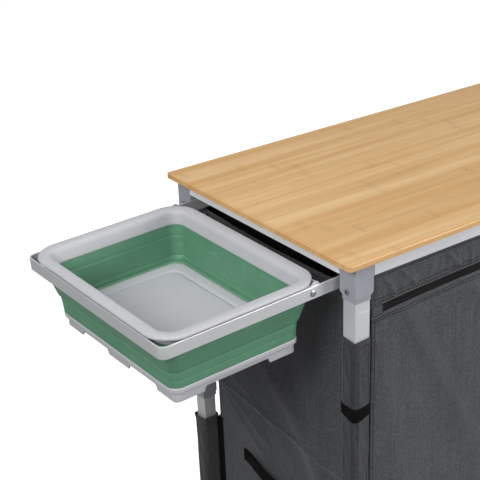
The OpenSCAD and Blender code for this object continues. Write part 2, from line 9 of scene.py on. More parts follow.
import bmesh
import bpy
import numpy as np
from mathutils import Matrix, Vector


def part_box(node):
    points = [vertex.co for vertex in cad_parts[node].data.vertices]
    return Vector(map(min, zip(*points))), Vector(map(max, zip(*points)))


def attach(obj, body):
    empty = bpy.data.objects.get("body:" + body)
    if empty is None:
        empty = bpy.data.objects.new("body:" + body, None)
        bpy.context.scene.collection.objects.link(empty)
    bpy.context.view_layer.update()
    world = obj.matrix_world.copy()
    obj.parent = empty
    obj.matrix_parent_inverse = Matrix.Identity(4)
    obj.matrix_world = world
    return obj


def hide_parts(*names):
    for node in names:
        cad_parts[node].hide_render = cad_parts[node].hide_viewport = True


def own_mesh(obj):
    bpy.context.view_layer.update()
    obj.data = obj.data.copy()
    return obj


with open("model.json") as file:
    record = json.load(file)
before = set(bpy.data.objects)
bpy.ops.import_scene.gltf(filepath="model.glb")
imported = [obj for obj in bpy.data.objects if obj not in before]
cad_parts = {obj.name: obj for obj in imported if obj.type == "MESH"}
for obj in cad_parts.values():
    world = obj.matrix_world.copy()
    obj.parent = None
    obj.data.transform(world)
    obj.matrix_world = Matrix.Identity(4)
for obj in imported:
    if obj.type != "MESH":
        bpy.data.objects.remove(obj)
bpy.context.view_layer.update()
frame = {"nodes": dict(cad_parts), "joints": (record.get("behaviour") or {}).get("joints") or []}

MM = 0.001
CORNERS = [(i, j) for j in (-1, 1) for i in (-1, 1)]     # -1 is left or front, 1 is right or rear
FRONT, BACK, TOP = (0, -1, 0), (0, 1, 0), (0, 0, 1)      # outward sides of cloth
rng = np.random.default_rng(11)


# ---------- places taken from the frame ----------

def side_name(side):
    return "left" if side < 0 else "right"


def corner_name(i, j):
    return ("front_" if j < 0 else "rear_") + side_name(i)


def middle(node):
    low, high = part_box(node)
    return (low + high) / 2


LEG_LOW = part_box("upper_leg_front_left")[0]
BOARD_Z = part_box("table_top")[0].z
MID_X = middle("table_top").x
JOINTS = {j["name"]: j for j in frame["joints"]}

# The carrier's own frame: x from the legs' end face, z from the arms' top edge, drooping a little
CARRIER_DROP = 30 * MM
CARRIER_UP = Vector(JOINTS["bowl_collapse"]["axis"])
CARRIER_ALONG = Vector((CARRIER_UP.z, 0, -CARRIER_UP.x))
CARRIER_ORIGIN = Vector((LEG_LOW.x, 0, BOARD_Z - CARRIER_DROP))


def on_carrier(points):
    """Points in the carrier's own frame, in millimetres, as points in the row frame."""
    p = np.asarray(points, float) * MM
    along, up = np.array(CARRIER_ALONG), np.array(CARRIER_UP)
    out = np.array(CARRIER_ORIGIN) + p[..., :1] * along + p[..., 2:] * up
    out[..., 1] += p[..., 1]
    return out


# ---------- materials ----------

def rgb(color):
    """An 8-bit display colour as linear RGBA."""
    c = np.array(color, float) / 255
    linear = np.where(c <= 0.04045, c / 12.92, ((c + 0.055) / 1.055) ** 2.4)
    return (*linear, 1.0)


class Finish:
    """A material, with short calls for the procedural nodes that make its finish."""

    def __init__(self, name, roughness, metallic=0.0):
        self.material = bpy.data.materials.new(name)
        self.material.use_nodes = True
        self.tree = self.material.node_tree
        self.shader = self.tree.nodes["Principled BSDF"]
        self.set("Roughness", roughness)
        self.set("Metallic", metallic)
        self.place = self.tree.nodes.new("ShaderNodeTexCoord").outputs["Object"]

    def set(self, name, value):
        self._put(self.shader.inputs[name], value)

    def _put(self, socket, value):
        if isinstance(value, bpy.types.NodeSocket):
            self.tree.links.new(value, socket)
        else:
            socket.default_value = value

    def node(self, kind, inputs=(), **settings):
        made = self.tree.nodes.new(kind)
        for key, value in settings.items():
            setattr(made, key, value)
        for key, value in dict(inputs).items():
            self._put(made.inputs[key], value)
        return made

    def axis(self, letter):
        return self.node("ShaderNodeSeparateXYZ", {0: self.place}).outputs[letter]

    def math(self, operation, a, b=0.0, c=0.0):
        return self.node("ShaderNodeMath", {0: a, 1: b, 2: c}, operation=operation).outputs[0]

    def stretched(self, x, y, z):
        """Object position scaled per axis, so that a texture stretches along the small one."""
        return self.node("ShaderNodeMapping", {"Vector": self.place, "Scale": (x, y, z)}).outputs[0]

    def noise(self, scale, detail=3.0, rough=0.5, distortion=0.0, vector=None):
        inputs = {"Vector": vector or self.place, "Scale": scale, "Detail": detail,
                  "Roughness": rough, "Distortion": distortion}
        return self.node("ShaderNodeTexNoise", inputs).outputs["Fac"]

    def remap(self, value, low, high, to_low=0.0, to_high=1.0, smooth=False):
        inputs = {"Value": value, "From Min": low, "From Max": high, "To Min": to_low, "To Max": to_high}
        kind = "SMOOTHSTEP" if smooth else "LINEAR"
        return self.node("ShaderNodeMapRange", inputs, interpolation_type=kind).outputs[0]

    def random(self, value):
        """A random 0 to 1 level for each value."""
        return self.node("ShaderNodeTexWhiteNoise", {"W": value}, noise_dimensions="1D").outputs["Value"]

    def mix(self, share, a, b):
        made = self.node("ShaderNodeMix", data_type="RGBA", blend_type="MIX")
        self._put(made.inputs[0], share)
        self._put(made.inputs[6], a)
        self._put(made.inputs[7], b)
        return made.outputs[2]

    def bump(self, height, strength, depth):
        made = self.node("ShaderNodeBump", {"Height": height, "Strength": strength, "Distance": depth})
        self.set("Normal", made.outputs[0])

    def wave(self, value, period):
        """A smooth 0 to 1 ripple along a length in metres."""
        turned = self.math("SINE", self.math("MULTIPLY", value, 2 * math.pi / period))
        return self.math("MULTIPLY_ADD", turned, 0.5, 0.5)


def bamboo():
    """Laminated bamboo: narrow strips along X, each its own tone, with fine grain and knuckle marks."""
    f = Finish("bamboo", 0.42)
    strip_w = 32 * MM
    x, y, z = f.axis("X"), f.axis("Y"), f.axis("Z")
    row = f.math("FLOOR", f.math("DIVIDE", y, strip_w))
    shift = f.random(row)
    tone = f.random(f.math("ADD", row, 40.5))
    color = f.mix(tone, rgb((212, 169, 112)), rgb((230, 192, 138)))
    broad = f.noise(1.0, 3.0, 0.6, 0.4, f.stretched(1.6, 46.0, 30.0))
    color = f.mix(f.remap(broad, 0.4, 0.66, 0.0, 0.75), color, rgb((206, 158, 94)))
    pale = f.noise(1.0, 2.0, 0.5, 0.3, f.stretched(1.3, 34.0, 24.0))
    color = f.mix(f.remap(pale, 0.52, 0.72, 0.0, 0.6), color, rgb((238, 204, 154)))
    grain = f.noise(1.0, 4.0, 0.7, 0.15, f.stretched(9.0, 1150.0, 900.0))
    streak = f.noise(1.0, 2.0, 0.5, 0.0, f.stretched(4.0, 330.0, 260.0))
    color = f.mix(f.remap(grain, 0.42, 0.72, 0.0, 0.42), color, rgb((160, 112, 62)))
    color = f.mix(f.remap(streak, 0.52, 0.75, 0.0, 0.35), color, rgb((232, 197, 146)))
    knuckle_x = f.math("ADD", f.math("DIVIDE", x, 0.36), f.math("MULTIPLY", shift, 11.3))
    off = f.math("ABSOLUTE", f.math("SUBTRACT", f.math("FRACT", knuckle_x), 0.5))
    ragged = f.noise(1.0, 3.0, 0.7, 0.8, f.stretched(90.0, 260.0, 200.0))
    knuckle = f.remap(f.math("MULTIPLY_ADD", ragged, 0.05, off), 0.02, 0.06, 1.0, 0.0, True)
    knuckle = f.math("MULTIPLY", knuckle, f.remap(ragged, 0.35, 0.62, 0.0, 0.26))
    color = f.mix(knuckle, color, rgb((138, 92, 48)))
    edge = f.math("ABSOLUTE", f.math("SUBTRACT", f.math("FRACT", f.math("DIVIDE", y, strip_w)), 0.5))
    color = f.mix(f.remap(edge, 0.47, 0.5, 0.0, 0.22), color, rgb((150, 104, 58)))
    low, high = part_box("table_top")
    from_side = f.math("MINIMUM", f.math("SUBTRACT", x, low.x), f.math("SUBTRACT", high.x, x))
    from_front = f.math("MINIMUM", f.math("SUBTRACT", y, low.y), f.math("SUBTRACT", high.y, y))
    rim = f.math("MULTIPLY_ADD", ragged, 0.006, f.math("MINIMUM", from_side, from_front))
    color = f.mix(f.remap(rim, 3 * MM, 10 * MM, 0.35, 0.0, True), color, rgb((204, 150, 84)))
    cells = {"Vector": f.stretched(14.0, 20.0, 20.0), "Scale": 1.0}
    speck = f.node("ShaderNodeTexVoronoi", cells).outputs[0]
    color = f.mix(f.remap(speck, 0.02, 0.035, 0.75, 0.0), color, rgb((70, 40, 18)))
    glue = f.math("ABSOLUTE", f.math("SUBTRACT", z, BOARD_Z + 6.6 * MM))
    color = f.mix(f.remap(glue, 0.2 * MM, 0.7 * MM, 0.35, 0.0), color, rgb((136, 90, 46)))
    f.set("Base Color", color)
    f.set("Roughness", f.remap(grain, 0.3, 0.8, 0.36, 0.52))
    f.set("Coat Weight", 0.2)
    f.set("Coat Roughness", 0.22)
    f.bump(f.math("MULTIPLY_ADD", grain, 0.6, f.remap(edge, 0.47, 0.5, 1.0, 0.5)), 0.25, 0.15 * MM)
    return f.material


def metal(name, color, along, roughness, metallic):
    """Satin metal with fine marks drawn along one axis."""
    f = Finish(name, roughness, metallic)
    scale = [1500.0, 1500.0, 1500.0]
    scale["XYZ".index(along)] = 12.0
    drawn = f.noise(1.0, 3.0, 0.6, 0.0, f.stretched(*scale))
    cloudy = f.noise(9.0, 4.0, 0.6)
    dull, dark = rgb([c * 0.93 for c in color]), rgb([c * 0.95 for c in color])
    shade = f.mix(f.remap(cloudy, 0.3, 0.75, 0.0, 0.35), rgb(color), dull)
    f.set("Base Color", f.mix(f.remap(drawn, 0.3, 0.7, 0.0, 0.25), shade, dark))
    f.set("Roughness", f.remap(drawn, 0.2, 0.8, roughness - 0.07, roughness + 0.1))
    f.bump(drawn, 0.12, 0.05 * MM)
    return f.material


def moulded(name, color, roughness, grain_scale=1600.0, grain=0.12, mottle=0.06, painted_glare=0.0):
    """Moulded plastic with a fine spark-eroded grain, slight mottling and optional pale streaks painted
    in as reflections of the white surroundings.
    """
    f = Finish(name, roughness)
    cloudy = f.noise(14.0, 4.0, 0.6)
    shade = f.mix(f.remap(cloudy, 0.3, 0.7), rgb(color), rgb([c * (1 - mottle) for c in color]))
    # Pale streaks painted into the colour as reflections of the white surroundings
    if painted_glare:
        glare_streaks = f.noise(1.0, 5.0, 0.75, 1.2, f.stretched(30.0, 24.0, 60.0))
        pale = rgb([c + (235 - c) * 0.4 for c in color])
        shade = f.mix(f.remap(glare_streaks, 0.55, 0.8, 0.0, painted_glare), shade, pale)
    f.set("Base Color", shade)
    fine = f.noise(grain_scale, 2.0, 0.6)
    f.set("Roughness", f.remap(cloudy, 0.3, 0.7, roughness - 0.05, roughness + 0.06))
    f.bump(fine, grain, 0.12 * MM)
    return f.material


def chrome():
    f = Finish("bright_chrome", 0.14, 1.0)
    smudge = f.noise(300.0, 3.0, 0.6)
    f.set("Base Color", f.mix(smudge, rgb((196, 199, 204)), rgb((160, 163, 168))))
    f.set("Roughness", f.remap(smudge, 0.3, 0.7, 0.18, 0.36))
    return f.material


def cloth(name, light, dark, thread=0.9 * MM, streaks=0.55, roughness=0.72, sheen=0.25):
    """Coated polyester: a plain weave with slubs that run up the cloth."""
    f = Finish(name, roughness)
    across = f.math("ADD", f.axis("X"), f.axis("Y"))
    up = f.axis("Z")
    warp, weft = f.wave(across, thread), f.wave(up, thread)
    over = f.wave(f.math("ADD", across, up), thread * 2)
    weave = f.mix(over, warp, weft)
    slub = f.noise(1.0, 3.0, 0.65, 0.0, f.stretched(760.0, 760.0, 9.0))
    pick = f.noise(1.0, 2.0, 0.6, 0.0, f.stretched(16.0, 16.0, 900.0))
    patch = f.noise(7.0, 3.0, 0.55)
    fleck = f.noise(330.0, 2.0, 0.6)
    level = f.math("ADD", f.remap(slub, 0.3, 0.72, 0.0, streaks), f.remap(pick, 0.35, 0.7, 0.0, 0.2))
    level = f.math("ADD", level, f.remap(fleck, 0.36, 0.66, -0.3, 0.35))
    level = f.math("ADD", level, f.remap(patch, 0.3, 0.7, 0.0, 0.2))
    f.set("Base Color", f.mix(level, rgb(dark), rgb(light)))
    f.set("Sheen Weight", sheen)
    f.set("Sheen Roughness", 0.5)
    f.set("Specular IOR Level", 0.32)
    height = f.node("ShaderNodeRGBToBW", {0: weave}).outputs[0]
    f.bump(f.math("MULTIPLY_ADD", slub, 0.8, height), 0.35, 0.12 * MM)
    return f.material


def ribbed_tape(name, color, letter, pitch, roughness=0.6):
    """Woven tape with ribs across one axis."""
    f = Finish(name, roughness)
    rib = f.wave(f.axis(letter), pitch)
    lint = f.noise(700.0, 3.0, 0.7)
    worn = rgb([c + 12 for c in color])
    f.set("Base Color", f.mix(f.remap(lint, 0.4, 0.75, 0.0, 0.5), rgb(color), worn))
    f.set("Specular IOR Level", 0.12)
    f.bump(f.math("MULTIPLY_ADD", lint, 0.5, rib), 0.5, 0.25 * MM)
    return f.material


def hook_pile():
    f = Finish("hook_loop_pile", 0.9)
    fuzz = f.noise(1300.0, 3.0, 0.8)
    f.set("Base Color", f.mix(f.remap(fuzz, 0.45, 0.75), rgb((8, 8, 9)), rgb((22, 22, 23))))
    f.set("Specular IOR Level", 0.12)
    f.bump(fuzz, 0.6, 0.4 * MM)
    return f.material


def white_floor():
    """Pale floor that glows a little to the camera and reflects less light than it shows."""
    f = Finish("studio_floor", 0.9)
    glow = 0.62
    haze = f.noise(0.6, 2.0, 0.5)
    seen = f.node("ShaderNodeLightPath").outputs["Is Camera Ray"]
    pale = f.mix(haze, rgb((250, 250, 250)), rgb((246, 246, 247)))
    f.set("Base Color", f.mix(seen, rgb((150, 150, 151)), pale))
    f.set("Specular IOR Level", 0.1)
    f.set("Emission Color", rgb((255, 255, 255)))
    f.set("Emission Strength", f.math("MULTIPLY", seen, glow))
    return f.material


BAMBOO = bamboo()
RAIL_X = metal("rail_aluminium_x", (226, 227, 230), "X", 0.45, 0.5)
# Painted light: the end rails get a whiter, less metallic copy of the aluminium than the front and rear
# rails, to make up for the shade under the board's overhang
RAIL_Y_PAINTED_LIGHTER = metal("rail_aluminium_y_painted_lighter", (246, 247, 249), "Y", 0.45, 0.2)
TUBE = metal("leg_aluminium", (226, 227, 229), "Z", 0.42, 0.5)
BAR = metal("carrier_aluminium", (224, 225, 227), "X", 0.4, 0.6)
BRACKET = moulded("grey_nylon", (160, 163, 171), 0.42, 1900.0, 0.18)
DARK_PLASTIC = moulded("dark_nylon", (52, 53, 56), 0.5)
CHROME = chrome()
BOWL_GREY = moulded("bowl_grey", (190, 191, 195), 0.5, 1200.0, 0.08, 0.03)
# The green bowl wall gets painted reflection streaks at 0.4 strength (the last argument)
BOWL_GREEN = moulded("bowl_green", (90, 143, 113), 0.5, 900.0, 0.12, 0.07, 0.4)
FOOT_RUBBER = moulded("foot_rubber", (40, 41, 43), 0.7, 900.0, 0.3)
PANEL_CLOTH = cloth("panel_cloth", (78, 80, 84), (36, 38, 41), streaks=0.62)
SLEEVE_CLOTH = cloth("sleeve_cloth", (62, 64, 68), (20, 21, 24), streaks=0.85)
BINDING = ribbed_tape("edge_binding", (10, 10, 11), "Y", 2.0 * MM)
# Stitch thread, near black: partly the thread's own colour, partly painted shade of the grooves the
# stitches sink into
THREAD = ribbed_tape("sewing_thread", (14, 14, 15), "Z", 0.6 * MM)
ZIP_TAPE = ribbed_tape("zip_tape", (17, 17, 18), "Z", 1.6 * MM)
ZIP_TAPE_UP = ribbed_tape("zip_tape_upright", (14, 14, 15), "X", 1.6 * MM)
WEBBING = ribbed_tape("webbing", (2, 2, 3), "Z", 2.4 * MM)
PILE = hook_pile()
ZIP_METAL = metal("zip_metal", (62, 63, 66), "Z", 0.35, 0.9)
FLOOR = white_floor()


# ---------- mesh helpers ----------

def add_object(name, data):
    made = bpy.data.objects.new(name, data)
    bpy.context.scene.collection.objects.link(made)
    return made


def piece(name, shape, material, body, replaces=()):
    """A smooth mesh from a (points, faces) pair that rides on a CAD body."""
    points, faces = shape
    mesh = bpy.data.meshes.new(name)
    mesh.from_pydata(np.asarray(points, float).reshape(-1, 3).tolist(), [], [list(f) for f in faces])
    welded = bmesh.new()
    welded.from_mesh(mesh)
    bmesh.ops.remove_doubles(welded, verts=welded.verts, dist=0.002 * MM)
    welded.to_mesh(mesh)
    welded.free()
    mesh.materials.append(material)
    mesh.polygons.foreach_set("use_smooth", [True] * len(mesh.polygons))
    mesh.update()
    made = add_object(name, mesh)
    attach(made, body)
    if replaces:
        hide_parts(*replaces)
    return made


def smooth_step(t):
    """Eases a 0 to 1 share in and out."""
    return t * t * (3 - 2 * t)


def grid_faces(rows, columns, wrap_rows=False, wrap_columns=False, start=0, flip=False):
    """Quads of a rows x columns grid of points."""
    faces = []
    for r in range(rows if wrap_rows else rows - 1):
        for c in range(columns if wrap_columns else columns - 1):
            r1, c1 = (r + 1) % rows, (c + 1) % columns
            quad = [r * columns + c, r * columns + c1, r1 * columns + c1, r1 * columns + c]
            if flip:
                quad.reverse()
            faces.append([start + q for q in quad])
    return faces


def merge(parts):
    """Joins (points, faces) pairs into one pair."""
    points, faces, start = [], [], 0
    for p, f in parts:
        p = np.asarray(p, float).reshape(-1, 3)
        points.append(p)
        faces += [[start + q for q in quad] for quad in f]
        start += len(p)
    return np.concatenate(points), faces


def loft(rings):
    """Closed tube of closed rings: rings[k] is ring k, and the last ring joins the first."""
    rings = np.asarray(rings, float)
    return rings.reshape(-1, 3), grid_faces(len(rings), rings.shape[1], True, True)


def capped(rings):
    """Closed skin of rings whose first and last ring have shrunk to a point."""
    rings = np.asarray(rings, float)
    return rings.reshape(-1, 3), grid_faces(len(rings), rings.shape[1], False, True)


def sheet(points, outward, thick):
    """A grid of points as a sheet with thickness, its given face on the outward side."""
    points, outward = np.asarray(points, float), np.array(outward)
    rows, columns = points.shape[:2]
    back = points - outward * thick
    count = rows * columns
    faces = grid_faces(rows, columns) + grid_faces(rows, columns, start=count, flip=True)
    rim = list(range(columns))
    rim += [r * columns + columns - 1 for r in range(1, rows)]
    rim += [(rows - 1) * columns + c for c in range(columns - 2, -1, -1)]
    rim += [r * columns for r in range(rows - 2, 0, -1)]
    for a, b in zip(rim, rim[1:] + rim[:1]):
        faces.append([b, a, a + count, b + count])
    normal = np.cross(points[1, 0] - points[0, 0], points[0, 1] - points[0, 0])
    if np.dot(normal, outward) > 0:
        faces = [f[::-1] for f in faces]
    return np.concatenate([points.reshape(-1, 3), back.reshape(-1, 3)]), faces


def rounded(points, radius, steps=5):
    """A closed outline with each corner replaced by a short quadratic curve."""
    out = []
    p = np.asarray(points, float)
    for k, here in enumerate(p):
        before, after = p[k - 1] - here, p[(k + 1) % len(p)] - here
        reach = min(radius, 0.45 * np.linalg.norm(before), 0.45 * np.linalg.norm(after))
        a = here + before / np.linalg.norm(before) * reach
        b = here + after / np.linalg.norm(after) * reach
        for t in np.linspace(0, 1, steps):
            out.append((1 - t) ** 2 * a + 2 * t * (1 - t) * here + t * t * b)
    return np.array(out)


def stitches(path, outward, length=3.2 * MM, gap=1.3 * MM, width=0.7 * MM):
    """A row of thread stitches along a path, as pointed four-sided beads."""
    path = np.asarray(path, float)
    legs = np.linalg.norm(np.diff(path, axis=0), axis=1)
    run = np.concatenate([[0], np.cumsum(legs)])
    out = np.asarray(outward, float)
    parts = []
    for start in np.arange(gap / 2, run[-1] - length, length + gap):
        ends = [np.array([np.interp(s, run, path[:, k]) for k in range(3)])
                for s in (start, start + length)]
        along = (ends[1] - ends[0]) / length
        side = np.cross(along, out)
        centre = [ends[0] + along * length * t for t in (0.25, 0.75)]
        ring = [c + d * width for c in centre for d in (side, out * 0.8, -side, -out * 0.8)]
        points = [ends[0] - out * width * 0.5, *ring, ends[1] - out * width * 0.5]
        faces = [[0, 1 + k, 1 + (k + 1) % 4] for k in range(4)]
        faces += [[1 + k, 5 + k, 5 + (k + 1) % 4, 1 + (k + 1) % 4] for k in range(4)]
        faces += [[9, 5 + (k + 1) % 4, 5 + k] for k in range(4)]
        parts.append((points, faces))
    return merge(parts)


def seam(path, outward, lift=0.3 * MM):
    """A path lifted off the cloth for its thread, with the side that it faces."""
    return np.asarray(path, float) + np.array(outward) * lift, outward


def stitch_piece(name, rows, body):
    """Several rows of stitches, given as (path, outward), in one piece."""
    thread = merge([stitches(path, outward) for path, outward in rows])
    return piece(name, thread, THREAD, body)


# ---------- CAD nodes that keep their shape ----------

def dress(node, material, bevel=0.0, segments=2):
    """Gives a CAD node its finish and, where asked, softened edges."""
    made = frame["nodes"][node]
    made.data.materials.clear()
    made.data.materials.append(material)
    if bevel:
        weld = made.modifiers.new("weld", "WELD")
        weld.merge_threshold = 0.01 * MM
        soft = made.modifiers.new("soft_edges", "BEVEL")
        soft.width = bevel
        soft.segments = segments
        soft.limit_method = "ANGLE"
        soft.angle_limit = math.radians(40)


def dress_frame():
    dress("table_top", BAMBOO)
    for node in ("front_rail", "rear_rail"):
        dress(node, RAIL_X, 0.5 * MM)
    # End rails take the aluminium copy painted lighter for the shade under the overhang
    for node in ("left_rail", "right_rail"):
        dress(node, RAIL_Y_PAINTED_LIGHTER, 0.5 * MM)
    for i, j in CORNERS:
        where = corner_name(i, j)
        dress("corner_bracket_" + where, BRACKET, 0.9 * MM, 3)
        dress("leg_collar_" + where, BRACKET, 0.6 * MM)
        dress("upper_leg_" + where, TUBE)
        dress("lower_leg_" + where, TUBE)
        dress("foot_" + where, FOOT_RUBBER, 0.8 * MM, 3)
    for node in ("bracket_screws", "top_screws", "track_screws", "carrier_screws"):
        dress(node, CHROME)
    for node in ("carrier_track_front", "carrier_track_rear"):
        dress(node, RAIL_X, 0.3 * MM)
    for node in ("carrier_frame", "carrier_crossbar"):
        dress(node, BAR, 0.6 * MM)
    dress("carrier_shoes", DARK_PLASTIC, 0.8 * MM)
    for node in ("zip_slider_top", "zip_slider_centre"):
        dress(node, ZIP_METAL, 0.4 * MM)


# ---------- wash bowl ----------

BOWL_SIZE = (285.0, 380.0)       # along the carrier and across it, millimetres
BOWL_MID = -169.5                # centre along the carrier
BOWL_CORNER = 45.0
TIGHT_CORNER = 18.0              # smallest corner radius of an outline that is drawn in


def bowl_outline(inset, z, radius=None):
    """The bowl's outline drawn in by an inset, at one height or a height per point, in millimetres."""
    half = np.array(BOWL_SIZE) / 2 - inset
    radius = radius or max(BOWL_CORNER - inset, TIGHT_CORNER)
    quarters = np.array([(1, 1), (-1, 1), (-1, -1), (1, -1)])
    points = []
    for turn in range(4):
        start, end = turn * math.pi / 2, (turn + 1) * math.pi / 2
        centre = quarters[turn] * (half - radius)
        for angle in np.linspace(start, end, 15):
            points.append(centre + radius * np.array([math.cos(angle), math.sin(angle)]))
        ahead = quarters[(turn + 1) % 4] * (half - radius)
        first, last = points[-1], ahead + radius * np.array([math.cos(end), math.sin(end)])
        for t in np.linspace(0, 1, 90)[1:-1]:
            points.append(first + (last - first) * t)
    flat = np.array(points)
    height = np.broadcast_to(np.asarray(z, float), len(flat))
    return np.column_stack([flat[:, 0] + BOWL_MID, flat[:, 1], height])


def bowl_loft(profile, corner=None):
    """Sweeps a closed profile of (inset, z) points round the bowl."""
    return loft([on_carrier(bowl_outline(inset, z, corner)) for inset, z in profile])


def bowl_rim():
    profile = rounded([
        (0.0, 2.6), (1.0, 5.9), (9.0, 6.6), (18.6, 5.6), (22.0, 1.0), (26.2, -16.2),
        (24.0, -18.6), (17.2, -18.2), (16.6, -13.5), (15.4, -12.5), (15.4, 0.2), (1.2, 0.2)], 2.4)
    piece("wash_bowl_rim", bowl_loft(profile), BOWL_GREY, "carrier", ["bowl_rim"])


# Folded wall of the bowl, down the outside and back up the inside, as (inset, z)
BAND_OUTSIDE = [
    (14.9, -13.8), (12.4, -16.5), (13.0, -22.0), (14.9, -33.0), (15.9, -34.3), (15.8, -36.0),
    (18.6, -46.0), (23.2, -63.0), (26.2, -65.2), (25.6, -68.4), (26.4, -79.0), (27.1, -80.6),
    (26.7, -82.2), (27.2, -94.0)]
BAND_INSIDE = [
    (30.5, -94.0), (32.0, -77.0), (30.6, -72.0), (29.7, -70.2), (29.8, -67.5), (27.6, -38.0),
    (26.7, -36.0), (26.8, -33.6), (24.6, -16.5), (18.4, -13.8)]
BAND_CORNER = 19.0
SEAL = [(30.6, -80.6), (32.4, -77.8), (34.4, -78.6), (36.6, -79.8), (37.2, -81.6), (31.2, -81.8)]


def bowl_band():
    """The folding wall, which gets a mesh of its own, and the ring that seals the floor."""
    wall = bowl_loft(rounded(BAND_OUTSIDE + BAND_INSIDE, 1.4, 4), BAND_CORNER)
    band = piece("wash_bowl_band", wall, BOWL_GREEN, "carrier", ["bowl_band"])
    top, bottom = BAND_OUTSIDE[0][1], BAND_OUTSIDE[-1][1]
    anchor = on_carrier([BOWL_MID, 0, top])
    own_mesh(band)
    seal = bowl_loft(rounded(SEAL, 0.6, 4))
    piece("wash_bowl_floor_seal", seal, BOWL_GREEN, "bowl_floor")


# Base of the bowl, as (inset, z): the shell down the outside, then the way back up the inside
SKIRT_INSET = 33.0
SKIRT_CORNER = 9.0
SHELL = [(27.4, -94.0), (27.0, -96.0), (27.3, -100.8), (28.4, -103.2), (32.4, -105.0), (32.8, -108.5)]
BASE_INSIDE = [
    (35.2, -103.0), (38.0, -98.0), (44.0, -86.0), (60.0, -84.6), (60.0, -81.5), (52.0, -80.9),
    (42.0, -79.8), (37.4, -79.6), (36.0, -82.0), (31.0, -83.0), (29.0, -93.6)]
FLOOR_TOP, FLOOR_UNDER = -80.0, -84.4


def bowl_skirt_heights(outline):
    """Lower edge of the base: feet at the corners and halfway along the ends, arches between them."""
    arch, foot = -111.6, -120.0
    from_corner_x = BOWL_SIZE[0] / 2 - SKIRT_INSET - np.abs(outline[:, 0] - BOWL_MID)
    from_corner_y = BOWL_SIZE[1] / 2 - SKIRT_INSET - np.abs(outline[:, 1])
    corner_foot = np.minimum(np.maximum(from_corner_x, from_corner_y) - 50, 3) / 3
    end_foot = np.where(from_corner_x < 4.0, np.clip((np.abs(outline[:, 1]) - 29) / 3, 0, 1), 1.0)
    lifted = np.minimum(np.clip(corner_foot, 0, 1), end_foot)
    return foot + (arch - foot) * lifted


def bowl_shell():
    """The base's wall: down the shell, round the skirt's lower edge and back up the inside."""
    rings = []
    for inset, z in rounded(SHELL, 1.2, 4)[4:-4]:
        corner = np.interp(z, [SHELL[-1][1], SHELL[2][1]], [SKIRT_CORNER, TIGHT_CORNER])
        rings.append(on_carrier(bowl_outline(inset, z, corner)))
    for inward, rise in ((0.0, 1.2), (0.5, 0.0), (2.6, 0.0), (3.1, 1.2)):
        inset = SKIRT_INSET + inward
        low = bowl_skirt_heights(bowl_outline(inset, 0, SKIRT_CORNER)) + rise
        rings.append(on_carrier(bowl_outline(inset, low, SKIRT_CORNER)))
    rings += [on_carrier(bowl_outline(inset, z)) for inset, z in BASE_INSIDE]
    return loft(rings)


def bowl_floor_plate():
    """The flat floor: a plate with a rounded step round it."""
    inner = bowl_outline(66.0, 0)
    centre = np.array([BOWL_MID, 0, 0])
    edge = [on_carrier(bowl_outline(inset, z))
            for inset, z in ((62.5, FLOOR_TOP - 0.2), (60.2, FLOOR_TOP - 1.4), (60.2, FLOOR_UNDER))]
    top, bottom = [], []
    for share in (0, 0.15, 0.4, 0.7, 1.0):
        shrunk = centre + (inner - centre) * share
        top.append(on_carrier(shrunk + [0, 0, FLOOR_TOP]))
        bottom.append(on_carrier(shrunk + [0, 0, FLOOR_UNDER]))
    return capped(top + edge + bottom[::-1])


def bowl_base():
    base = merge([bowl_shell(), bowl_floor_plate()])
    piece("wash_bowl_base", base, BOWL_GREY, "bowl_floor", ["bowl_base"])


# ---------- fabric cupboard ----------

PANEL_T = 1.2 * MM


def beside_line(u, v, start, end):
    """Share of the way along a line and distance off it, for places in a sheet's own u, v."""
    start, end = np.array(start), np.array(end)
    along = end - start
    length = np.linalg.norm(along)
    along = along / length
    du, dv = u - start[0], v - start[1]
    return (du * along[0] + dv * along[1]) / length, du * -along[1] + dv * along[0]


def ridge(u, v, start, end, height, width):
    """A soft fold along a line, fading at its ends."""
    t, off = beside_line(u, v, start, end)
    fade = smooth_step(np.clip(np.minimum(t, 1 - t) * 5 + 0.25, 0, 1))
    return height * fade * np.exp(-(off / width) ** 2)


def crease(u, v, start, end, height, width):
    """A sharp pressed crease along a line: a low tent with a crisp top."""
    t, off = beside_line(u, v, start, end)
    fade = np.clip(np.minimum(t, 1 - t) * 8 + 0.3, 0, 1)
    return height * fade * np.exp(-np.abs(off) / width)


def ripples(u, v, count, size, lengths, lean=0.0):
    """Soft random undulation: sums of waves that mostly run up the cloth."""
    total = np.zeros_like(u)
    for _ in range(count):
        period = rng.uniform(*lengths)
        phase = rng.uniform(0, 2 * math.pi)
        tilt = lean + rng.normal(0, 0.25)
        total += np.sin(2 * math.pi * (u + tilt * v) / period + phase) * rng.uniform(0.4, 1.0)
    return size * total / math.sqrt(count)


def hold(u, v, u_range, v_range, reach):
    """0 at a sheet's sewn edges, rising to 1 inside."""
    near = np.minimum.reduce([u - u_range[0], u_range[1] - u, v - v_range[0], v_range[1] - v])
    return smooth_step(np.clip(near / reach, 0, 1))


